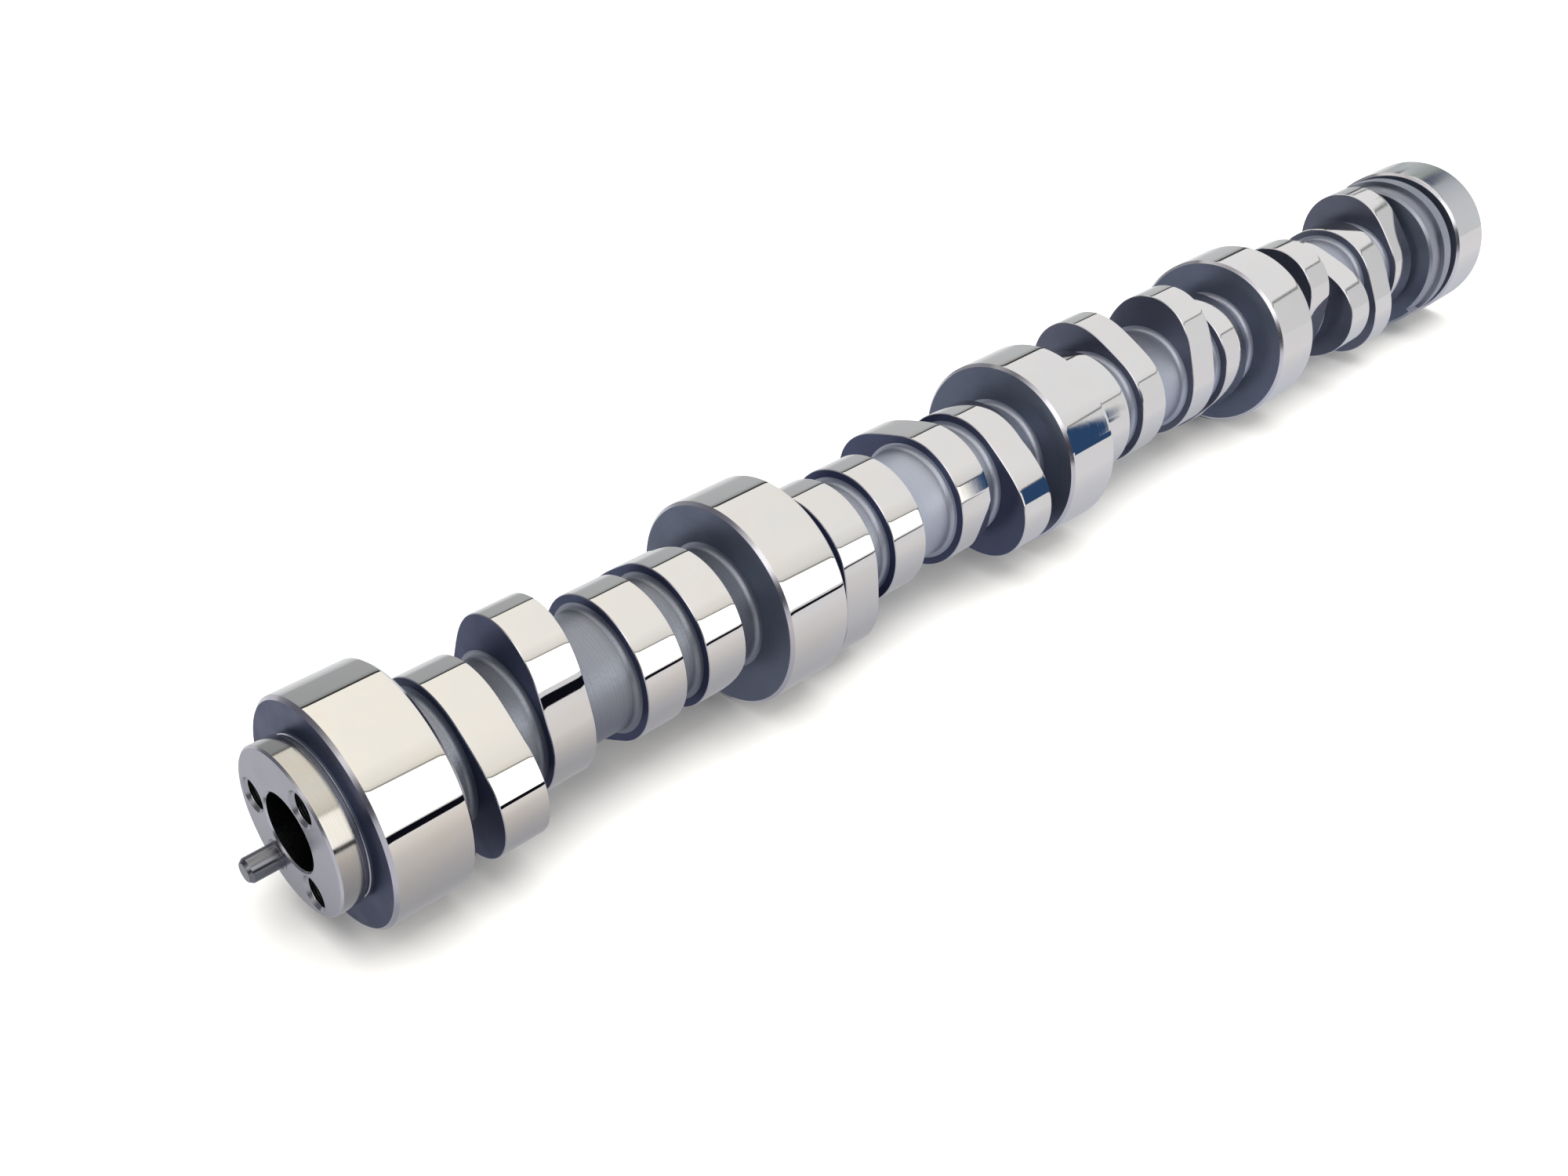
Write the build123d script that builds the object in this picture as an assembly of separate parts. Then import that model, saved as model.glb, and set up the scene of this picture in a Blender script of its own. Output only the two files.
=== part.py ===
"""Camshaft for a V8 engine with sixteen roller lobes, five journals and a three-bolt nose.

Frame: millimetres, axis along +X from the nose to the rear, +Z up.
The origin is the centre of journal 1.
Angles about the axis are in degrees, clockwise as seen from the front: 0 is up, 90 is towards -Y.
"""
import os
from math import acos, cos, radians, sin

from build123d import *

# Nose, the relief behind it and the collar in front of journal 1
NOSE_R = 19.9
NOSE_LENGTH = 5.75
NOSE_CHAMFER = 0.5
RELIEF_DEPTH = 1.2
RELIEF_WIDTH = 1.2
COLLAR_R = 19.3
COLLAR_WIDTH = 0.7

# Journals
JOURNAL_R = 27.5
JOURNAL_WIDTH = 19.9         # over both chamfers
JOURNAL_CHAMFER = 0.85
PITCH = 111.76               # spacing of the first four journals

# Core that carries the lobes, and the drilling through it
CORE_R = 15.5
ROOT_BEVEL = 1.2             # where the core meets a journal or the ring
BORE_R = 9.2
BORE_CHAMFER = 0.4

# Lobes: base circle, two straight flanks and a round tip
LOBE_WIDTH = 11.9
LOBE_OFFSETS = (23.45, 42.3)      # from the nearer journal; the other two of a span mirror them
BASE_R = 19.2
LIFT = {"intake": 8.05, "exhaust": 8.15}
TIP_R = {"intake": 15.4, "exhaust": 14.6}
LOBE_SEPARATION = 112.0
CLOCKING = -55.7                  # turns the whole set of lobes to its place against the dowel
INTAKE_ANGLE = {1: 170, 2: 305, 3: 215, 4: 170, 5: 305, 6: 260, 7: 80, 8: 35}

# Sensor ring between the last lobe and journal 5
RING_FRONT_GAP = 3.26
RING_WIDTH = 12.4
RING_REAR_GAP = 4.25
RING_R = 26.6
RING_LOW_R = 25.3
RING_LOW_WIDTH = 7.25
RING_LOW_FROM = -53.0             # the front of the ring is lower over half a turn from here

# Gear bolt holes
BOLT_CIRCLE_R = 14.3
BOLT_ANGLES = (-84.2, 35.8, 155.8)
BOLT_HOLE_R = 3.4                 # tapping size for M8
BOLT_HOLE_DEPTH = 20.0
BOLT_SINK = 0.95

# Dowel pin on the bolt circle, and its hole
DOWEL_ANGLE = 215.8
DOWEL_R = 3.0
DOWEL_OUT = 7.8
DOWEL_IN = 10.0
DOWEL_TIP = (0.9, 0.6)            # chamfer of the free end, along the axis and across it
DOWEL_FOOT = 0.5                  # chamfer of the end in the hole
DOWEL_FIT = 0.02                  # radial room in the hole
DOWEL_ROOM = 0.5                  # left in the hole behind the pin
DOWEL_SINK = 0.75

# Places along the axis
JOURNALS = [PITCH * k for k in range(4)]
RING_START = JOURNALS[-1] + PITCH - LOBE_OFFSETS[0] + LOBE_WIDTH / 2 + RING_FRONT_GAP
RING_END = RING_START + RING_WIDTH
JOURNALS.append(RING_END + RING_REAR_GAP + JOURNAL_WIDTH / 2)
REAR_END = JOURNALS[-1] + JOURNAL_WIDTH / 2
COLLAR_START = -JOURNAL_WIDTH / 2 - COLLAR_WIDTH
NOSE_END = COLLAR_START - RELIEF_WIDTH
NOSE_FACE = NOSE_END - NOSE_LENGTH


def on_nose_face(angle):
    """Point on the bolt circle in the nose face, at a clockwise angle."""
    t = radians(angle)
    return Vector(NOSE_FACE, -BOLT_CIRCLE_R * sin(t), BOLT_CIRCLE_R * cos(t))


def lobe(kind, x, angle):
    """One lobe centred at x with its tip at a clockwise angle."""
    tip = BASE_R + LIFT[kind] - TIP_R[kind]          # centre of the tip circle
    contact = acos((BASE_R - TIP_R[kind]) / tip)     # the flanks touch both circles at this angle
    across, along = sin(contact), cos(contact)
    on_base = [(BASE_R * along, side * BASE_R * across) for side in (1, -1)]
    on_tip = [(tip + TIP_R[kind] * along, side * TIP_R[kind] * across) for side in (1, -1)]
    outline = make_face([ThreePointArc(on_base[0], (-BASE_R, 0), on_base[1]), Line(on_base[1], on_tip[1]),
                         ThreePointArc(on_tip[1], (tip + TIP_R[kind], 0), on_tip[0]), Line(on_tip[0], on_base[0])])
    # the plane's x axis is up, and a clockwise turn seen from the front is a positive one about +X
    front = Plane(origin=(x - LOBE_WIDTH / 2, 0, 0), x_dir=(0, 0, 1), z_dir=(1, 0, 0))
    return front * Rot(0, 0, angle) * extrude(outline, LOBE_WIDTH)


def lobe_places():
    """Kind, centre and tip angle of the sixteen lobes, from the front."""
    places = []
    near, far = LOBE_OFFSETS
    for span in range(4):
        odd, even = 2 * span + 1, 2 * span + 2
        rows = ((near, "intake", odd), (far, "exhaust", even),
                (PITCH - far, "exhaust", odd), (PITCH - near, "intake", even))
        for offset, kind, cylinder in rows:
            angle = INTAKE_ANGLE[cylinder] + CLOCKING + (LOBE_SEPARATION if kind == "exhaust" else 0.0)
            places.append((kind, JOURNALS[span] + offset, angle))
    return places


def shaft():
    """Everything that is round about the axis, turned from one outline."""
    bands = [(x - JOURNAL_WIDTH / 2, x + JOURNAL_WIDTH / 2, JOURNAL_R) for x in JOURNALS]
    bands.insert(-1, (RING_START, RING_END, RING_R))
    relief_r = NOSE_R - RELIEF_DEPTH
    points = [(NOSE_FACE, 0), (NOSE_FACE, NOSE_R), (NOSE_END, NOSE_R), (NOSE_END, relief_r), (COLLAR_START, relief_r),
              (COLLAR_START, COLLAR_R), (bands[0][0], COLLAR_R)]
    for (start, end, radius), following in zip(bands, bands[1:]):
        points += [(start, radius), (end, radius), (end, CORE_R), (following[0], CORE_R)]
    start, end, radius = bands[-1]
    points += [(start, radius), (end, radius), (end, 0)]
    face = make_face(Polyline(*points, close=True))

    def corners(radius):
        return face.vertices().filter_by(lambda v: abs(v.Y - radius) < 1e-6)

    face = chamfer(corners(CORE_R), ROOT_BEVEL)
    face = chamfer(corners(JOURNAL_R), JOURNAL_CHAMFER)
    face = chamfer(corners(NOSE_R).sort_by(Axis.X)[0], NOSE_CHAMFER)
    return revolve(face, Axis.X)


def drilling(angle, radius, depth, sink):
    """Blind hole on the bolt circle with a 90 degree countersink, drawn from the nose face along +X."""
    clear = NOSE_LENGTH
    outline = make_face(Polyline((-clear, 0), (-clear, radius + sink + clear), (sink, radius), (depth, radius),
                                 (depth, 0), close=True))
    return Pos(on_nose_face(angle)) * revolve(outline, Axis.X)


def bore():
    """Drilling through the whole shaft, broken at both ends."""
    clear = NOSE_LENGTH
    front, rear, flare = NOSE_FACE - clear, REAR_END + clear, BORE_R + BORE_CHAMFER + clear
    outline = make_face(Polyline((front, 0), (front, flare), (NOSE_FACE + BORE_CHAMFER, BORE_R),
                                 (REAR_END - BORE_CHAMFER, BORE_R), (rear, flare), (rear, 0), close=True))
    return revolve(outline, Axis.X)


def ring_recess():
    """Half ring taken off the front of the sensor ring."""
    start, end, outer = RING_START - RING_FRONT_GAP / 2, RING_START + RING_LOW_WIDTH, RING_R + RING_REAR_GAP / 2
    outline = make_face(Polyline((start, RING_LOW_R), (end, RING_LOW_R), (end, outer), (start, outer), close=True))
    # drawn on the +Y side, which is at -90 degrees
    return Rot(RING_LOW_FROM + 90, 0, 0) * revolve(outline, Axis.X, 180)


def camshaft():
    body = shaft() + [lobe(*place) for place in lobe_places()]
    cuts = [bore(), ring_recess()]
    cuts += [drilling(angle, BOLT_HOLE_R, BOLT_HOLE_DEPTH, BOLT_SINK) for angle in BOLT_ANGLES]
    cuts.append(drilling(DOWEL_ANGLE, DOWEL_R + DOWEL_FIT, DOWEL_IN + DOWEL_ROOM, DOWEL_SINK))
    return body - cuts


def dowel_pin():
    along, across = DOWEL_TIP
    outline = make_face(Polyline((-DOWEL_OUT, 0), (-DOWEL_OUT, DOWEL_R - across), (along - DOWEL_OUT, DOWEL_R),
                                 (DOWEL_IN - DOWEL_FOOT, DOWEL_R), (DOWEL_IN, DOWEL_R - DOWEL_FOOT), (DOWEL_IN, 0),
                                 close=True))
    return Pos(on_nose_face(DOWEL_ANGLE)) * revolve(outline, Axis.X)


os.makedirs("parts", exist_ok=True)
for name, shape in {"camshaft": camshaft(), "dowel_pin": dowel_pin()}.items():
    export_step(shape, f"parts/{name}.step")
    box = shape.bounding_box()
    print(f"{name}: solids {len(shape.solids())}, volume {shape.volume:.0f} mm3, x {box.min.X:.2f} to {box.max.X:.2f}, "
          f"y {box.min.Y:.2f} to {box.max.Y:.2f}, z {box.min.Z:.2f} to {box.max.Z:.2f}")
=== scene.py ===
"""Polished camshaft on a pale studio floor: a finely divided shaft and its dowel pin."""
from bisect import bisect_right
from math import atan2, cos, degrees, hypot, inf, pi, radians, sin, sqrt

import bpy
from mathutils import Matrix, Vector
from mathutils.geometry import delaunay_2d_cdt


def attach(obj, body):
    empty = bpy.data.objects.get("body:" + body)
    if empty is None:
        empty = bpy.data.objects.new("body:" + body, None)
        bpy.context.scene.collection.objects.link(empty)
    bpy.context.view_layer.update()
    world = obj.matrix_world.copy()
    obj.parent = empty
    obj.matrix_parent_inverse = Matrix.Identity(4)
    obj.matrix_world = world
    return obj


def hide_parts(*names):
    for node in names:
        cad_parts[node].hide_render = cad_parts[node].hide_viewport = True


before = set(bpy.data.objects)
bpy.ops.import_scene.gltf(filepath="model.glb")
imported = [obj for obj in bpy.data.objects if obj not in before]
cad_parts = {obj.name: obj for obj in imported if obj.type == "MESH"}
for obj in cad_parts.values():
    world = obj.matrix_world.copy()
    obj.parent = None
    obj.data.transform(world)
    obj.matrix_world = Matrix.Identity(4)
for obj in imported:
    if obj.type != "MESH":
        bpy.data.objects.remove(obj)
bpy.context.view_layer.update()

MM = 0.001
TINY = 1e-7                               # millimetres, below which places are the same

# Sizes of the shaft in millimetres, from the centre of journal 1 along +X
JOURNAL_R, JOURNAL_HALF, JOURNAL_CHAMFER = 27.5, 9.95, 0.85
PITCH = 111.76
JOURNALS = [0.0, PITCH, 2 * PITCH, 3 * PITCH, 459.4]
REAR_END = JOURNALS[-1] + JOURNAL_HALF
NOSE_FACE, NOSE_END, COLLAR_START = -17.6, -11.85, -10.65
NOSE_R, NOSE_CHAMFER, RELIEF_R, COLLAR_R, COLLAR_CHAMFER = 19.9, 0.5, 18.7, 19.3, 0.2
CORE_R, ROOT_R = 15.5, 1.5
BORE_R, BORE_CHAMFER = 9.2, 0.4
LOBE_HALF, LOBE_EDGE, BASE_R = 5.95, 0.2, 19.2
# Distance from the edge and drop of the ground surfaces there
ROLL_OFF = ((1.1, 0.0), (0.5, 0.0005), (0.0, 0.012))
LOBE_OFFSETS = (23.45, 42.3)
LIFT = {"intake": 8.05, "exhaust": 8.15}
# Turn of the normal from the lobe's nose where each arc of a flank ends, and the radii of the middle arcs
LOBE_ARCS = {"intake": ((50.0, 67.0, 72.0, 77.0), (20.0, 45.0)),
             "exhaust": ((50.0, 68.0, 71.5, 74.0), (22.0, 75.0))}
LOBE_SEPARATION, CLOCKING = 112.0, -55.7
INTAKE_ANGLE = {1: 170, 2: 305, 3: 215, 4: 170, 5: 305, 6: 260, 7: 80, 8: 35}
RING_START, RING_STEP, RING_END = 432.8, 440.05, 445.2
RING_R, RING_LOW_R, RING_LOW_FROM = 26.6, 25.3, -53.0
RING_FRONT_EDGE, RING_REAR_EDGE, RING_STEP_RUN = 0.9, 0.25, 0.05
BOLT_CIRCLE_R, BOLT_ANGLES = 14.3, (-84.2, 35.8, 155.8)
BOLT_HOLE_R, BOLT_SINK, BOLT_DEPTH = 3.4, 0.95, 20.0
THREAD_R, THREAD_PITCH, THREAD_LENGTH = 4.0, 1.25, 8.75
THREAD_FLAT = 0.15                        # share of the pitch that is flat at a crest, and again in a groove
DOWEL_ANGLE, DOWEL_R, DOWEL_FIT, DOWEL_SINK = 215.8, 3.0, 0.02, 0.75
DOWEL_OUT, DOWEL_IN, DOWEL_TIP, DOWEL_FOOT, DOWEL_ROOM = 7.8, 10.0, (0.9, 0.6), 0.5, 0.5
# Small roundings of the pin's tip: across and along its end, then across and along its shoulder
PIN_END, PIN_SHOULDER = (0.12, 0.1), (0.05, 0.08)

# How finely the surfaces are divided
COLUMN_TURN = 2.0                         # degrees from one column of the shaft to the next
ARC_STEPS, ROOT_STEPS = 60, 4
BOLT_COLUMNS, DOWEL_COLUMNS, BORE_COLUMNS, PIN_COLUMNS = 56, 48, 96, 64
THREAD_FINE_DEPTH, THREAD_FINE_STEPS, THREAD_COARSE_STEPS = 4.4, 12, 8

# Zones of the surface, in the order of the shaft's materials
GROUND, NOSE, NOSE_FACE_ZONE, TURNED, FACE, EDGE, CORE, HOLE, RING = range(9)


# Geometry of the shaft

def lobe_table(kind):
    """Angles from the lobe's nose and radii of half its outline.

    It has four arcs. The radii of the first and the last are solved so that it ends on the base circle.
    """
    ends, middle = LOBE_ARCS[kind]
    turns = [0.0] + [radians(end) for end in ends]
    last, top = turns[-1], BASE_R + LIFT[kind]
    spans = list(zip(turns, turns[1:]))
    ups = [cos(last - b) - cos(last - a) for a, b in spans]
    sides = [sin(last - a) - sin(last - b) for a, b in spans]
    up = BASE_R - top * cos(last) - sum(u * r for u, r in zip(ups[1:-1], middle))
    side = top * sin(last) - sum(s * r for s, r in zip(sides[1:-1], middle))
    size = ups[0] * sides[-1] - ups[-1] * sides[0]
    radii = [(up * sides[-1] - ups[-1] * side) / size, *middle, (ups[0] * side - up * sides[0]) / size]
    x, y, table = top, 0.0, [(0.0, top)]
    for (a, b), radius in zip(spans, radii):
        cx, cy = x - radius * cos(a), y - radius * sin(a)
        for k in range(1, ARC_STEPS + 1):
            t = a + (b - a) * k / ARC_STEPS
            x, y = cx + radius * cos(t), cy + radius * sin(t)
            table.append((degrees(atan2(y, x)), hypot(x, y)))
    return table


LOBE_TABLES = {kind: lobe_table(kind) for kind in LIFT}


def lobe_radius(kind, angle):
    """Radius of the lobe's outline at an angle from its nose."""
    a = abs((angle + 180.0) % 360.0 - 180.0)
    table = LOBE_TABLES[kind]
    if a >= table[-1][0]:
        return BASE_R
    k = bisect_right(table, (a, inf))
    (a0, r0), (a1, r1) = table[k - 1], table[k]
    return r0 + (r1 - r0) * (a - a0) / (a1 - a0)


def lobe_places():
    """Kind, centre and nose angle of the sixteen lobes, from the front."""
    places = []
    near, far = LOBE_OFFSETS
    for span in range(4):
        odd, even = 2 * span + 1, 2 * span + 2
        rows = ((near, "intake", odd), (far, "exhaust", even),
                (PITCH - far, "exhaust", odd), (PITCH - near, "intake", even))
        for offset, kind, cylinder in rows:
            angle = INTAKE_ANGLE[cylinder] + CLOCKING + (LOBE_SEPARATION if kind == "exhaust" else 0.0)
            places.append((kind, JOURNALS[span] + offset, angle))
    return places


def about_axis(radius, angle):
    """y and z at a clockwise angle, seen from the front, from the top."""
    t = radians(angle)
    return -radius * sin(t), radius * cos(t)


# Angles of the columns, with a close pair at each end of the ring's lower half turn
PAIR_TURN = 0.02
COLUMNS = sorted([k * COLUMN_TURN for k in range(int(360 / COLUMN_TURN))]
                 + [(RING_LOW_FROM + turn + side * PAIR_TURN) % 360 for turn in (0, 180) for side in (-1, 1)])


def flat(radius):
    return [radius] * len(COLUMNS)


def outline():
    """Rings of the outer surface from the nose face to the rear face.

    Each gives its x, its radii, the zone of the band behind it, and whether it is a sharp edge.
    """
    rings = []

    def add(x, radii, zone, sharp=True):
        rings.append((x, flat(radii) if isinstance(radii, (int, float)) else radii, zone, sharp))

    def root_up(x, face):
        """Fillet from the core up to a side face at x."""
        for k in range(ROOT_STEPS + 1):
            t, last = 0.5 * pi * k / ROOT_STEPS, k == ROOT_STEPS
            add(x - ROOT_R + ROOT_R * sin(t), CORE_R + ROOT_R * (1 - cos(t)), face if last else CORE, sharp=last)

    def root_down(x):
        """Fillet from a side face at x down to the core."""
        for k in range(ROOT_STEPS + 1):
            t = 0.5 * pi * k / ROOT_STEPS
            add(x + ROOT_R * (1 - cos(t)), CORE_R + ROOT_R * (1 - sin(t)), CORE, sharp=k == 0)

    def ground_band(x, half, edge, radii, face):
        """Chamfer, ground surface that rolls off towards both edges, and chamfer."""
        add(x - half, [r - edge for r in radii], EDGE)
        inner = half - edge
        for side, steps in ((-1, ROLL_OFF[::-1]), (1, ROLL_OFF)):
            for distance, drop in steps:
                last = side == 1 and distance == 0.0
                add(x + side * (inner - distance), [r - drop for r in radii], EDGE if last else GROUND,
                    sharp=distance == 0.0)
        add(x + half, [r - edge for r in radii], face)

    def journal(x, front=True, rear=True):
        if front:
            root_up(x - JOURNAL_HALF, TURNED)
        ground_band(x, JOURNAL_HALF, JOURNAL_CHAMFER, flat(JOURNAL_R), TURNED)
        if rear:
            root_down(x + JOURNAL_HALF)

    def lobe(kind, x, angle):
        radii = [lobe_radius(kind, a - angle) for a in COLUMNS]
        root_up(x - LOBE_HALF, FACE)
        ground_band(x, LOBE_HALF, LOBE_EDGE, radii, FACE)
        root_down(x + LOBE_HALF)

    def sensor_ring():
        """Sensor ring, whose front part is lower over half a turn."""
        front = [RING_LOW_R if (a - RING_LOW_FROM) % 360 < 180 else RING_R for a in COLUMNS]
        root_up(RING_START, TURNED)
        add(RING_START, [r - RING_FRONT_EDGE for r in front], RING)
        add(RING_START + RING_FRONT_EDGE, front, RING)
        add(RING_STEP, front, RING)
        add(RING_STEP + RING_STEP_RUN, RING_R, RING)
        add(RING_END - RING_REAR_EDGE, RING_R, EDGE)
        add(RING_END, RING_R - RING_REAR_EDGE, TURNED)
        root_down(RING_END)

    add(NOSE_FACE, NOSE_R - NOSE_CHAMFER, EDGE)
    add(NOSE_FACE + NOSE_CHAMFER, NOSE_R, NOSE)
    add(NOSE_END - COLLAR_CHAMFER, NOSE_R, EDGE)
    add(NOSE_END, NOSE_R - COLLAR_CHAMFER, TURNED)
    add(NOSE_END, RELIEF_R, CORE)
    add(COLLAR_START, RELIEF_R, TURNED)
    add(COLLAR_START, COLLAR_R - COLLAR_CHAMFER, EDGE)
    add(COLLAR_START + COLLAR_CHAMFER, COLLAR_R, TURNED)
    add(-JOURNAL_HALF, COLLAR_R, FACE)
    parts = [("lobe", place[1], place) for place in lobe_places()]
    parts += [("journal", x, x) for x in JOURNALS] + [("ring", RING_START, None)]
    for form, _, what in sorted(parts, key=lambda p: p[1]):
        if form == "lobe":
            lobe(*what)
        elif form == "ring":
            sensor_ring()
        else:
            journal(what, front=what != JOURNALS[0], rear=what != JOURNALS[-1])
    return rings


class Mesh:
    """Vertices and faces in millimetres, with a material zone for each face and a list of sharp edges."""

    def __init__(self):
        self.points, self.faces, self.zones, self.sharp = [], [], [], set()

    def ring(self, x, radii, angles, centre=(0.0, 0.0)):
        first = len(self.points)
        for radius, angle in zip(radii, angles):
            y, z = about_axis(radius, angle)
            self.points.append((x, y + centre[0], z + centre[1]))
        return list(range(first, first + len(angles)))

    def band(self, near, far, zone):
        """Quads between two rings of equal count; outward normals where far lies at larger x."""
        for k in range(len(near)):
            j = (k + 1) % len(near)
            self.faces.append((near[k], near[j], far[j], far[k]))
            self.zones.append(zone)

    def mark(self, ring):
        """Make the edges of a ring sharp."""
        for a, b in zip(ring, ring[1:] + ring[:1]):
            self.sharp.add(tuple(sorted((a, b))))

    def sheet(self, outer, inners, zone, facing):
        """Flat ring-shaped face at one x between an outer ring and inner rings, facing -1 or +1 along x."""
        loops = [outer] + inners
        ids = [i for loop in loops for i in loop]
        flat_points = [Vector(self.points[i][1:]) for i in ids]
        where = {i: k for k, i in enumerate(ids)}
        edges = [(where[loop[k]], where[loop[(k + 1) % len(loop)]]) for loop in loops for k in range(len(loop))]
        _, _, tris, origins, *_ = delaunay_2d_cdt(flat_points, edges, [], 0, TINY)
        loop_of = [n for n, loop in enumerate(loops) for _ in loop]
        for tri in tris:
            if len({loop_of[k] for k in tri}) == 1 and loop_of[tri[0]] > 0:
                continue
            a, b, c = (ids[k] for k in tri)
            pa, pb, pc = (self.points[i] for i in (a, b, c))
            turn = (pb[1] - pa[1]) * (pc[2] - pa[2]) - (pb[2] - pa[2]) * (pc[1] - pa[1])
            self.faces.append((a, b, c) if turn * facing > 0 else (a, c, b))
            self.zones.append(zone)

    def disc(self, ring, zone, facing):
        """Flat face that closes a ring, facing -1 or +1 along x."""
        self.faces.append(tuple(ring if facing < 0 else ring[::-1]))
        self.zones.append(zone)

    def build(self, name, materials):
        data = bpy.data.meshes.new(name)
        data.from_pydata([(x * MM, y * MM, z * MM) for x, y, z in self.points], [], self.faces)
        for material in materials:
            data.materials.append(material)
        data.polygons.foreach_set("material_index", self.zones)
        data.polygons.foreach_set("use_smooth", [True] * len(self.faces))
        for edge in data.edges:
            edge.use_edge_sharp = tuple(sorted(edge.vertices)) in self.sharp
        data.update()
        obj = bpy.data.objects.new(name, data)
        bpy.context.collection.objects.link(obj)
        return obj


def hole(mesh, angle, radius, sink, depth, columns, thread):
    """A countersunk blind hole from the nose face; returns its rim in the face."""
    centre = about_axis(BOLT_CIRCLE_R, angle)
    turns = [360.0 * k / columns for k in range(columns)]
    stations = [0.0]
    if thread:
        x = 0.0
        while x < THREAD_LENGTH - TINY:
            x += THREAD_PITCH / (THREAD_FINE_STEPS if x < THREAD_FINE_DEPTH else THREAD_COARSE_STEPS)
            stations.append(x)
    else:
        stations.append(sink)
    stations.append(depth)

    def radii(x):
        cone = radius + sink - x
        if not thread or x > THREAD_LENGTH:
            return [max(cone, radius)] * columns
        fade = min(1.0, max(0.0, (THREAD_LENGTH - x) / THREAD_PITCH))
        out = []
        for turn in turns:
            u = (x / THREAD_PITCH - turn / 360.0) % 1.0
            groove = min(1.0, max(0.0, (1.0 - abs(2 * u - 1) - THREAD_FLAT) / (1.0 - 2 * THREAD_FLAT)))
            out.append(max(cone, radius + (THREAD_R - radius) * groove * fade))
        return out

    rings = [mesh.ring(NOSE_FACE + x, radii(x), turns, centre) for x in stations]
    mesh.mark(rings[0])
    if not thread:
        mesh.mark(rings[1])
    mesh.mark(rings[-1])
    for k, (near, far) in enumerate(zip(rings, rings[1:])):
        mesh.band(far, near, NOSE_FACE_ZONE if stations[k + 1] <= sink else HOLE)
    mesh.disc(rings[-1], HOLE, -1)
    return rings[0]


def make_shaft(materials):
    mesh = Mesh()
    rings = []
    for x, radii, zone, sharp in outline():
        ids = mesh.ring(x, radii, COLUMNS)
        if sharp:
            mesh.mark(ids)
        rings.append((ids, zone))
    for (near, zone), (far, _) in zip(rings, rings[1:]):
        mesh.band(near, far, zone)
    turns = [360.0 * k / BORE_COLUMNS for k in range(BORE_COLUMNS)]
    bore = [mesh.ring(x, [r] * BORE_COLUMNS, turns) for x, r in
            ((NOSE_FACE, BORE_R + BORE_CHAMFER), (NOSE_FACE + BORE_CHAMFER, BORE_R),
             (REAR_END - BORE_CHAMFER, BORE_R), (REAR_END, BORE_R + BORE_CHAMFER))]
    for ids in bore:
        mesh.mark(ids)
    for k, zone in enumerate((EDGE, HOLE, EDGE)):
        mesh.band(bore[k + 1], bore[k], zone)
    rims = [hole(mesh, angle, BOLT_HOLE_R, BOLT_SINK, BOLT_DEPTH, BOLT_COLUMNS, True) for angle in BOLT_ANGLES]
    rims.append(hole(mesh, DOWEL_ANGLE, DOWEL_R + DOWEL_FIT, DOWEL_SINK, DOWEL_IN + DOWEL_ROOM, DOWEL_COLUMNS,
                     False))
    mesh.sheet(rings[0][0], [bore[0]] + rims, NOSE_FACE_ZONE, -1)
    mesh.sheet(rings[-1][0], [bore[-1]], TURNED, 1)
    return mesh.build("camshaft_turned", materials)


def make_pin(material):
    mesh = Mesh()
    centre = about_axis(BOLT_CIRCLE_R, DOWEL_ANGLE)
    along, across = DOWEL_TIP
    turns = [360.0 * k / PIN_COLUMNS for k in range(PIN_COLUMNS)]
    end_in, end_back = PIN_END
    shoulder_in, shoulder_back = PIN_SHOULDER
    profile = [(-DOWEL_OUT, DOWEL_R - across - end_in), (end_back - DOWEL_OUT, DOWEL_R - across),
               (along - DOWEL_OUT - shoulder_back, DOWEL_R - shoulder_in),
               (along - DOWEL_OUT + shoulder_back, DOWEL_R),
               (DOWEL_IN - DOWEL_FOOT, DOWEL_R), (DOWEL_IN, DOWEL_R - DOWEL_FOOT)]
    rings = [mesh.ring(NOSE_FACE + x, [r] * PIN_COLUMNS, turns, centre) for x, r in profile]
    for k in (1, 2, 4, 5):
        mesh.mark(rings[k])
    for near, far in zip(rings, rings[1:]):
        mesh.band(near, far, 0)
    mesh.disc(rings[0], 0, -1)
    mesh.disc(rings[-1], 0, 1)
    return mesh.build("dowel_pin_turned", [material])


# Materials

def new_material(name, metallic=1.0):
    material = bpy.data.materials.new(name)
    material.use_nodes = True
    tree = material.node_tree
    shader = tree.nodes["Principled BSDF"]
    shader.inputs["Metallic"].default_value = metallic
    return material, tree, shader


def node(tree, kind, **values):
    made = tree.nodes.new(kind)
    for key, value in values.items():
        if key in made.inputs:
            made.inputs[key].default_value = value
        else:
            setattr(made, key, value)
    return made


def axis_places(tree):
    """Sockets with the point's x, its distance from the axis, and the point itself, in millimetres."""
    coords = tree.nodes.new("ShaderNodeTexCoord")
    scaled = node(tree, "ShaderNodeVectorMath", operation="SCALE", Scale=1.0 / MM)
    tree.links.new(coords.outputs["Object"], scaled.inputs[0])
    split = tree.nodes.new("ShaderNodeSeparateXYZ")
    tree.links.new(scaled.outputs[0], split.inputs[0])
    flat_part = tree.nodes.new("ShaderNodeCombineXYZ")
    tree.links.new(split.outputs["Y"], flat_part.inputs["X"])
    tree.links.new(split.outputs["Z"], flat_part.inputs["Y"])
    length = node(tree, "ShaderNodeVectorMath", operation="LENGTH")
    tree.links.new(flat_part.outputs[0], length.inputs[0])
    return split.outputs["X"], length.outputs["Value"], scaled.outputs[0]


def streaks(tree, across, scale):
    """Noise that changes along one socket only, as the marks of turning and grinding do."""
    noise = node(tree, "ShaderNodeTexNoise", noise_dimensions="1D", Scale=scale, Detail=4.0)
    tree.links.new(across, noise.inputs["W"])
    return noise.outputs["Fac"]


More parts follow.
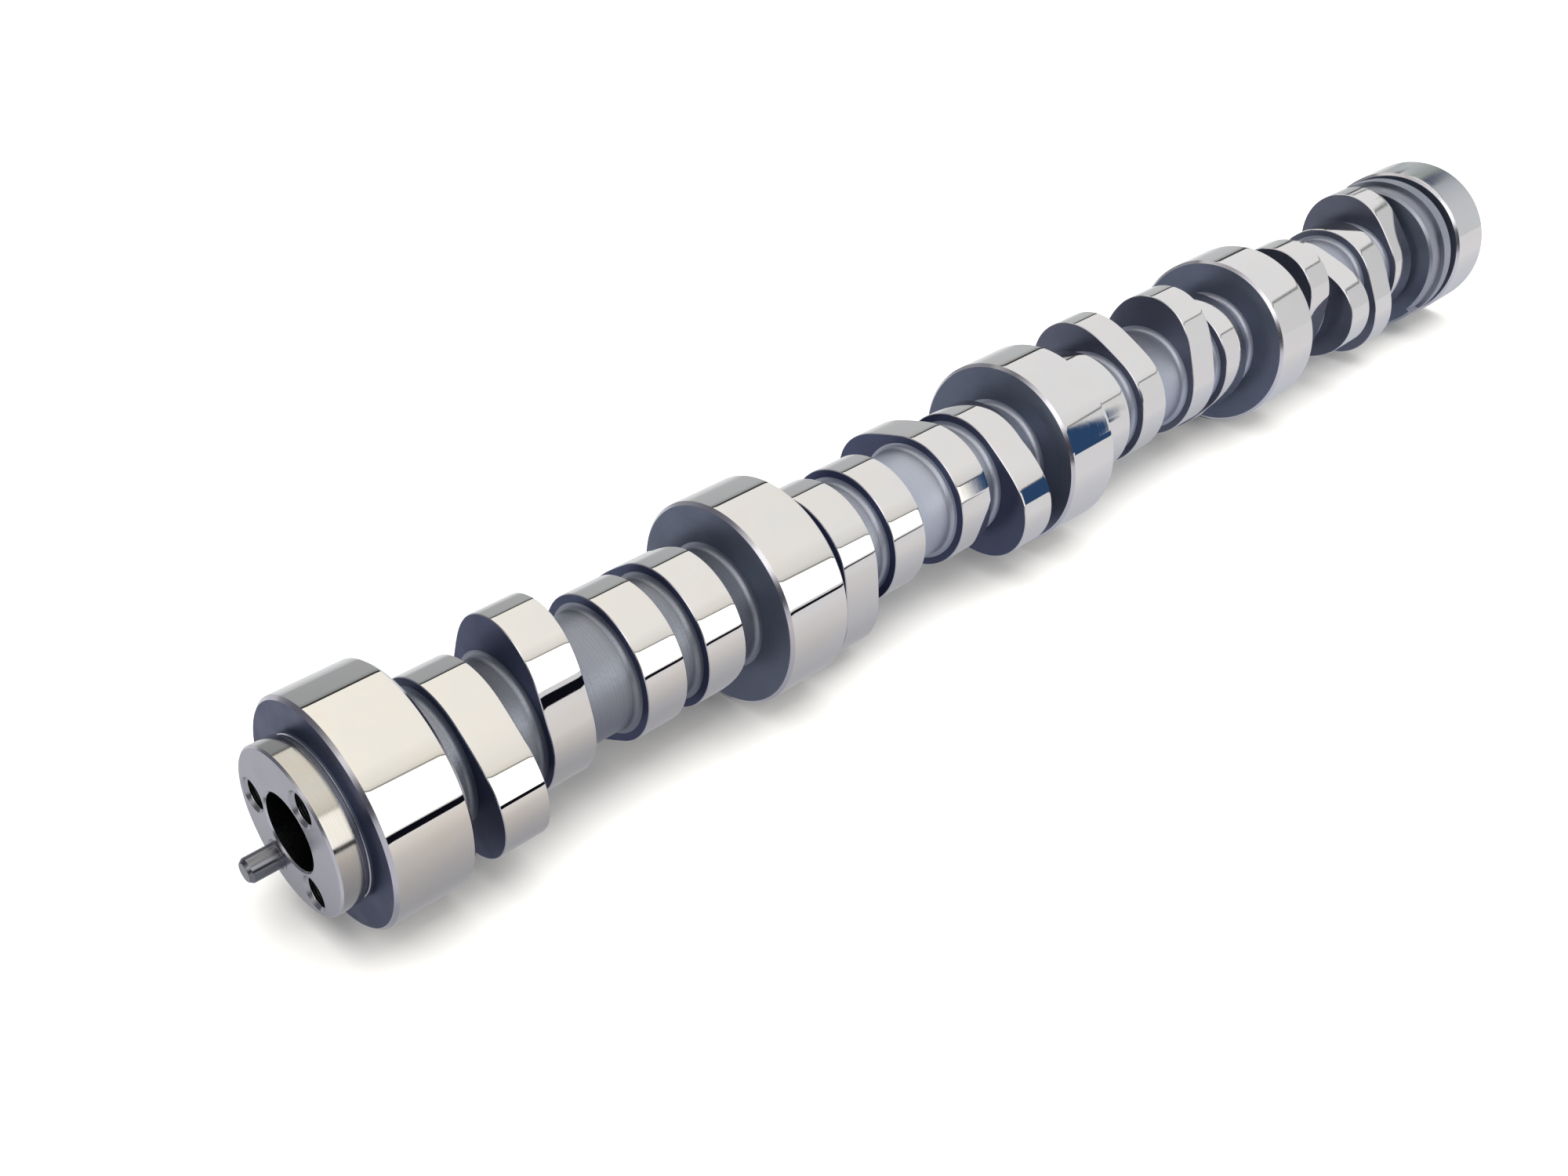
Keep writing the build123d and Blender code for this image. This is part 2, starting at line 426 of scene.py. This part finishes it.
def blotches(tree, point, scale, detail):
    """Noise in all directions."""
    noise = node(tree, "ShaderNodeTexNoise", Scale=scale, Detail=detail)
    tree.links.new(point, noise.inputs["Vector"])
    return noise.outputs["Fac"]


def ramp(tree, value, stops):
    """Colours for values from 0 to 1, given at some of them."""
    made = tree.nodes.new("ShaderNodeValToRGB")
    bands = made.color_ramp.elements
    while len(bands) < len(stops):
        bands.new(0.5)
    for band, (place, colour) in zip(bands, stops):
        band.position = place
        band.color = (*colour, 1.0)
    tree.links.new(value, made.inputs["Fac"])
    return made.outputs["Color"]


def spread(tree, value, low, high, from_low=0.35, from_high=0.65):
    """A number from low to high as the value goes from one to the other; the usual span is that of a noise."""
    made = tree.nodes.new("ShaderNodeMapRange")
    for key, number in (("From Min", from_low), ("From Max", from_high), ("To Min", low), ("To Max", high)):
        made.inputs[key].default_value = number
    tree.links.new(value, made.inputs["Value"])
    return made.outputs["Result"]


def shade(tree, value, stops):
    """Colours along a socket, given at values of it."""
    start, stop = stops[0][0], stops[-1][0]
    share = spread(tree, value, 0.0, 1.0, start, stop)
    return ramp(tree, share, [((place - start) / (stop - start), colour) for place, colour in stops])


def add_bump(tree, shader, height, distance):
    bump = node(tree, "ShaderNodeBump", Strength=1.0, Distance=distance)
    tree.links.new(height, bump.inputs["Height"])
    tree.links.new(bump.outputs["Normal"], shader.inputs["Normal"])


def multiply(tree, colour, by):
    made = node(tree, "ShaderNodeMix", data_type="RGBA", blend_type="MULTIPLY")
    made.inputs["Factor"].default_value = 1.0
    tree.links.new(colour, made.inputs["A"])
    tree.links.new(by, made.inputs["B"])
    return made.outputs["Result"]


PATCH_SCALE = 0.11               # of the large patches, to the millimetre
WHOLE = (1.0, 1.0, 1.0)


def steel(name, dark, light, rough, across, scale, relief, mottle=0.0, metallic=1.0, painted_shade_at_nose=None):
    """Metal with fine lines.

    It takes their two colours, the span of roughness, the socket that the lines run across, their scale to the
    millimetre and their relief in metres. Mottle is how far large patches turn warmer or cooler. The last
    argument
    paints shade along the shaft: the colour goes from a share of it at one x to the whole of it at another.
    """
    material, tree, shader = new_material(name, metallic)
    x, radius, point = axis_places(tree)
    lines = streaks(tree, {"x": x, "radius": radius}[across], scale)
    patches = blotches(tree, point, PATCH_SCALE, 3.0)
    colour = ramp(tree, lines, [(0.3, dark), (0.7, light)])
    if mottle:
        warm = ramp(tree, patches, [(0.35, (1.0 - mottle, 1.0 - 0.5 * mottle, 1.0)), (0.5, WHOLE),
                                    (0.65, (1.0, 1.0 - 0.7 * mottle, 1.0 - 1.6 * mottle))])
        colour = multiply(tree, colour, warm)
    # Painted shade: the colour darkens along the shaft, from a share of it at one x to the whole of it at another
    if painted_shade_at_nose:
        start, stop, share = painted_shade_at_nose
        colour = multiply(tree, colour, shade(tree, x, [(start, share), (stop, WHOLE)]))
    tree.links.new(colour, shader.inputs["Base Color"])
    tree.links.new(spread(tree, patches, *rough), shader.inputs["Roughness"])
    add_bump(tree, shader, lines, relief)
    return material


def core_steel():
    """Machined but not ground: feed marks under a fine blasted grain."""
    material, tree, shader = new_material("core_steel")
    x, _, point = axis_places(tree)
    grain = blotches(tree, point, 2.5, 5.0)
    tone = ramp(tree, streaks(tree, x, 4.0), [(0.3, (0.41, 0.44, 0.52)), (0.7, (0.51, 0.54, 0.62))])
    # Painted shade: darker towards the nose
    tone = multiply(tree, tone, shade(tree, x, [(90.0, (0.62, 0.62, 0.62)), (160.0, WHOLE)]))
    tree.links.new(tone, shader.inputs["Base Color"])
    tree.links.new(spread(tree, grain, 0.38, 0.50), shader.inputs["Roughness"])
    add_bump(tree, shader, grain, 0.00003)
    return material


def shaded_hole_steel():
    """Painted shade: nearly black walls of the holes and of the bore, as the shade inside them."""
    material, tree, shader = new_material("shaded_hole_steel")
    _, _, point = axis_places(tree)
    tone = ramp(tree, blotches(tree, point, 1.5, 2.0), [(0.3, (0.018, 0.02, 0.02)), (0.7, (0.042, 0.046, 0.046))])
    tree.links.new(tone, shader.inputs["Base Color"])
    shader.inputs["Roughness"].default_value = 0.35
    return material


def pin_steel():
    """Hardened and drawn: darker, with faint lines along the pin."""
    material, tree, shader = new_material("pin_steel")
    _, _, point = axis_places(tree)
    stretched = node(tree, "ShaderNodeVectorMath", operation="MULTIPLY")
    stretched.inputs[1].default_value = (0.15, 3.0, 3.0)
    tree.links.new(point, stretched.inputs[0])
    grain = blotches(tree, stretched.outputs[0], 1.0, 3.0)
    tree.links.new(ramp(tree, grain, [(0.3, (0.16, 0.165, 0.19)), (0.7, (0.24, 0.245, 0.27))]),
                   shader.inputs["Base Color"])
    tree.links.new(spread(tree, grain, 0.16, 0.26), shader.inputs["Roughness"])
    add_bump(tree, shader, grain, 0.000004)
    return material


shaft = make_shaft([
    steel("ground_steel", (0.70, 0.685, 0.665), (0.74, 0.725, 0.705), (0.012, 0.028), "x", 9.0, 0.0000007,
          mottle=0.02),
    steel("nose_steel", (0.47, 0.46, 0.44), (0.56, 0.545, 0.525), (0.09, 0.14), "x", 6.0, 0.000004, mottle=0.03),
    steel("nose_face_steel", (0.395, 0.40, 0.435), (0.465, 0.47, 0.51), (0.20, 0.28), "radius", 5.0, 0.000008),
    steel("turned_steel", (0.12, 0.14, 0.20), (0.165, 0.19, 0.26), (0.34, 0.46), "radius", 5.0, 0.00001,
          metallic=0.85),
    # Lobe faces get painted shade, darker and bluer towards the nose
    steel("lobe_face_steel", (0.125, 0.135, 0.185), (0.17, 0.18, 0.235), (0.32, 0.42), "radius", 5.0, 0.00001,
          metallic=0.9, painted_shade_at_nose=(150.0, 270.0, (0.42, 0.48, 0.72))),
    steel("edge_steel", (0.58, 0.57, 0.62), (0.66, 0.65, 0.70), (0.16, 0.24), "x", 8.0, 0.000004),
    core_steel(), shaded_hole_steel(),
    steel("ring_steel", (0.29, 0.305, 0.355), (0.37, 0.385, 0.44), (0.28, 0.40), "x", 3.0, 0.00001)])
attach(shaft, "root")
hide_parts("camshaft")

pin = make_pin(pin_steel())
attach(pin, "root")
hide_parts("dowel_pin")


# Studio

def floor_material():
    material, _, shader = new_material("floor", metallic=0.0)
    shader.inputs["Base Color"].default_value = (0.86, 0.86, 0.85, 1.0)
    shader.inputs["Roughness"].default_value = 0.9
    shader.inputs["Specular IOR Level"].default_value = 0.0
    return material


def plane(name, corners, material):
    data = bpy.data.meshes.new(name)
    data.from_pydata(corners, [], [tuple(range(len(corners)))])
    data.materials.append(material)
    obj = bpy.data.objects.new(name, data)
    bpy.context.collection.objects.link(obj)
    return obj


def level(x, y, z):
    """Corners of a level rectangle, from its span in x and in y."""
    return [(x[0], y[0], z), (x[1], y[0], z), (x[1], y[1], z), (x[0], y[1], z)]


FLOOR_Z = -JOURNAL_R * MM
plane("floor", level((-3.0, 3.0), (-3.0, 3.0), FLOOR_Z), floor_material())

BACKDROP = (0.98, 0.98, 0.98)             # all that the camera sees of the room
WINDOW_BLUE = (0.030, 0.075, 0.180)
ROOM_STRENGTH = 2.0                       # a ramp's colours end at 1, so the room's are divided by this


def studio_world():
    """Light tent: a broad ceiling with three straight edges, a white panel at the viewer's side, grey walls."""
    world = bpy.data.worlds.new("studio")
    bpy.context.scene.world = world
    world.use_nodes = True
    tree = world.node_tree
    tree.nodes.clear()
    direction = tree.nodes.new("ShaderNodeTexCoord").outputs["Generated"]

    def along(x, y, z):
        """How far the direction lies on the positive side of a plane through the centre."""
        size = sqrt(x * x + y * y + z * z)
        product = node(tree, "ShaderNodeVectorMath", operation="DOT_PRODUCT")
        tree.links.new(direction, product.inputs[0])
        product.inputs[1].default_value = (x / size, y / size, z / size)
        return product.outputs["Value"]

    def step(value, low, high):
        return spread(tree, value, 0.0, 1.0, low, high)

    def combine(operation, a, b):
        made = node(tree, "ShaderNodeMath", operation=operation)
        tree.links.new(a, made.inputs[0])
        tree.links.new(b, made.inputs[1])
        return made.outputs[0]

    def both(a, b):
        """1 only where two steps are both 1."""
        return combine("MULTIPLY", a, b)

    def divided(colour):
        return tuple(part / ROOM_STRENGTH for part in colour)

    def tones(value, *stops):
        return shade(tree, value, [(place, divided(colour)) for place, colour in stops])

    def mix(kind, under, over, factor):
        made = node(tree, "ShaderNodeMix", data_type="RGBA", blend_type=kind)
        for key, colour in (("A", under), ("B", over)):
            if isinstance(colour, tuple):
                made.inputs[key].default_value = (*divided(colour), 1.0)
            else:
                tree.links.new(colour, made.inputs[key])
        if factor is None:
            made.inputs["Factor"].default_value = 1.0
        else:
            tree.links.new(factor, made.inputs["Factor"])
        return made.outputs["Result"]

    def lay(under, over, factor):
        """One colour laid over another where the factor is 1."""
        return mix("MIX", under, over, factor)

    def darken(colour, share):
        return mix("MULTIPLY", colour, share, None)

    def grey(value, *stops):
        return shade(tree, value, [(place, (share,) * 3) for place, share in stops])

    rearward = along(1, 0, 0)
    upward = along(0, 0, 1)
    near = along(-0.61, -1.0, -0.84)          # past the ceiling's edge at the viewer's side
    # Past its edge at the rear end of the shaft, which has a corner
    far = combine("MINIMUM", along(1.0, 0.21, -1.82), along(1.0, -0.69, -1.79))
    back = along(-0.133, 1.0, -1.22)          # past its edge behind the shaft

    # Viewer's side: white panel, then a grey gap, a dark blue window and a pale wall towards the rear
    panel, gap = (1.75, 1.73, 1.66), (0.92, 0.92, 0.95)
    side = tones(rearward, (0.6865, panel), (0.6875, gap), (0.690, gap), (0.6905, WINDOW_BLUE))
    wall = tones(rearward, (0.80, (0.86, 0.87, 0.90)), (0.90, (0.66, 0.67, 0.70)))
    side = lay(side, wall, step(along(1.0, 1.1384, -0.2054), 0.0028, 0.0048))

    # Ceiling: warm over the nose, cooler to the rear, with a dark rim along two edges
    ceiling = tones(rearward, (0.30, (1.22, 1.175, 1.07)), (0.75, (0.97, 0.975, 1.0)))
    near_rim = grey(near, (-0.30, 1.0), (-0.08, 0.88), (-0.02, 0.76), (-0.013, 0.28), (0.006, 0.28))
    far_rim = grey(far, (-0.014, 1.0), (-0.009, 0.30), (0.010, 0.30))
    ceiling = darken(darken(ceiling, near_rim), far_rim)
    room = lay(side, ceiling, both(step(near, 0.005, 0.003), step(far, 0.008, 0.005)))

    # Behind the shaft: grey wall, darkest under the ceiling's edge
    behind = tones(rearward, (0.2, (0.38, 0.39, 0.40)), (0.4, (0.47, 0.485, 0.50)), (0.6, (0.545, 0.56, 0.58)),
                   (0.85, (0.62, 0.64, 0.66)), (0.89, (0.42, 0.45, 0.46)))
    behind = darken(behind, grey(back, (0.0, 0.05), (0.03, 0.07), (0.055, 0.75), (0.12, 1.0)))
    room = lay(room, behind, step(back, -0.002, 0.002))

    # Past the last lobe the room is plain grey with a dark spot, which only the last journal mirrors
    beside = along(0, 1, 0)
    end = tones(beside, (-0.45, (0.70, 0.73, 0.775)), (-0.31, (0.68, 0.705, 0.75)), (-0.085, (0.55, 0.58, 0.64)),
                (0.03, (0.42, 0.45, 0.50)), (0.14, (0.25, 0.28, 0.33)), (0.25, (0.34, 0.40, 0.39)),
                (0.40, (0.50, 0.54, 0.56)), (0.46, (0.55, 0.59, 0.61)), (0.487, (0.41, 0.47, 0.49)))
    room = lay(room, end, step(rearward, 0.8745, 0.8775))
    spot = both(grey(rearward, (0.8785, 0.0), (0.8800, 1.0), (0.8812, 1.0), (0.8835, 0.25), (0.8870, 0.0)),
                grey(beside, (0.0, 0.0), (0.07, 1.0), (0.17, 1.0), (0.24, 0.0)))
    room = lay(room, (0.04, 0.04, 0.11), spot)

    # Left of the shaft: dark behind, light at the viewer's side, nearly black low down past the ceiling's edge
    left = tones(along(0, -1, 0), (-0.30, (0.16, 0.16, 0.19)), (0.25, (1.15, 1.13, 1.16)))
    room = lay(room, left, both(step(rearward, -0.15, -0.50), step(near, 0.25, -0.35)))
    low = both(both(step(rearward, 0.22, 0.14), step(upward, 0.45, 0.30)), step(near, -0.01, 0.01))
    room = lay(room, (0.05, 0.05, 0.07), low)

    seen = tree.nodes.new("ShaderNodeLightPath").outputs["Is Camera Ray"]
    room = lay(room, BACKDROP, seen)
    background = tree.nodes.new("ShaderNodeBackground")
    background.inputs["Strength"].default_value = ROOM_STRENGTH
    tree.links.new(room, background.inputs["Color"])
    output = tree.nodes.new("ShaderNodeOutputWorld")
    tree.links.new(background.outputs[0], output.inputs["Surface"])


def card(name, corners, paint):
    """Card that only polished surfaces mirror; paint is a colour, or gives one from the sockets of x and y."""
    material = bpy.data.materials.new(name)
    material.use_nodes = True
    tree = material.node_tree
    tree.nodes.clear()
    glow = tree.nodes.new("ShaderNodeEmission")
    if callable(paint):
        coords = tree.nodes.new("ShaderNodeTexCoord")
        split = tree.nodes.new("ShaderNodeSeparateXYZ")
        tree.links.new(coords.outputs["Object"], split.inputs[0])
        tree.links.new(paint(tree, split.outputs["X"], split.outputs["Y"]), glow.inputs["Color"])
    else:
        glow.inputs["Color"].default_value = (*paint, 1.0)
    output = tree.nodes.new("ShaderNodeOutputMaterial")
    tree.links.new(glow.outputs[0], output.inputs["Surface"])
    obj = plane(name, corners, material)
    for kind in ("visible_camera", "visible_diffuse", "visible_transmission", "visible_volume_scatter",
                 "visible_shadow"):
        setattr(obj, kind, False)


def foot_paint(tree, x, y):
    return shade(tree, x, [(0.42, (0.005, 0.005, 0.01)), (0.62, (0.15, 0.15, 0.17))])


def painted_floor_shade(tree, x, y):
    """Painted shadow at the shaft's foot, and painted shade: greyer far behind, darker and warmer beside the
    nose.
    """
    behind = [(0.02, (0.42, 0.42, 0.44)), (0.07, (0.74, 0.75, 0.76)), (0.16, (0.83, 0.84, 0.86)),
              (0.32, (0.70, 0.715, 0.74)), (0.95, (0.57, 0.585, 0.61))]
    nose = shade(tree, y, [(-0.25, (0.97, 0.93, 0.89)), (-0.13, (0.84, 0.79, 0.75)), (-0.06, (0.63, 0.60, 0.58)),
                           (-0.025, (0.41, 0.41, 0.44))] + behind)
    rear = shade(tree, y, [(-0.25, (0.85, 0.85, 0.89)), (-0.07, (0.86, 0.85, 0.89)), (-0.03, (0.66, 0.68, 0.755)),
                           (-0.01, (0.48, 0.49, 0.53))] + behind)
    colour = (0.70, 0.70, 0.73, 1.0)      # in front of the nose
    for over, start, stop in ((nose, -0.032, -0.018), (rear, 0.03, 0.27)):
        made = node(tree, "ShaderNodeMix", data_type="RGBA")
        tree.links.new(spread(tree, x, 0.0, 1.0, start, stop), made.inputs["Factor"])
        if isinstance(colour, tuple):
            made.inputs["A"].default_value = colour
        else:
            tree.links.new(colour, made.inputs["A"])
        tree.links.new(over, made.inputs["B"])
        colour = made.outputs["Result"]
    return colour


studio_world()
# Black gap at the foot of the panel
card("panel_foot", [(0.0, -0.240, FLOOR_Z), (0.62, -0.47, FLOOR_Z), (0.62, -0.47, -0.018), (0.0, -0.240, 0.005)],
     foot_paint)
# Foot of the window, which reaches lower than the floor's horizon
card("window_foot", [(x, -0.35, z) for x, z in
                     ((0.556, -0.021), (0.632, -0.021), (0.632, 0.0146), (0.556, 0.0146))], WINDOW_BLUE)
# The floor as the shaft mirrors it, with a painted shadow at the shaft's foot and painted shade
card("shaded_floor", level((-2.5, 2.5), (-2.5, 2.9), FLOOR_Z + 0.0004), painted_floor_shade)

lamp_data = bpy.data.lights.new("ceiling_lamp", "AREA")
lamp_data.shape = "RECTANGLE"
lamp_data.size, lamp_data.size_y = 2.4, 1.8
lamp_data.energy = 36.0
lamp = bpy.data.objects.new("ceiling_lamp", lamp_data)
bpy.context.collection.objects.link(lamp)
lamp.location = (0.3, 0.0, 1.5)
lamp.visible_glossy = False
lamp.visible_camera = False

camera_data = bpy.data.cameras.new("camera")
camera = bpy.data.objects.new("camera", camera_data)
bpy.context.collection.objects.link(camera)
bpy.context.scene.camera = camera
# Focal length and width of the frame in pixels, as fitted to the photo
FOCAL, FRAME_WIDTH = 1992.26, 2000.0
camera_data.sensor_width = 36.0
camera_data.lens = camera_data.sensor_width * FOCAL / FRAME_WIDTH
camera.location = Vector((NOSE_FACE - 96.47, -242.94, 219.42)) * MM
camera.rotation_mode = "QUATERNION"
camera.rotation_quaternion = Vector((0.58645, 0.59356, -0.55115)).to_track_quat("-Z", "Y")
camera_data.clip_start = 0.01

bpy.context.scene.view_settings.view_transform = "Standard"
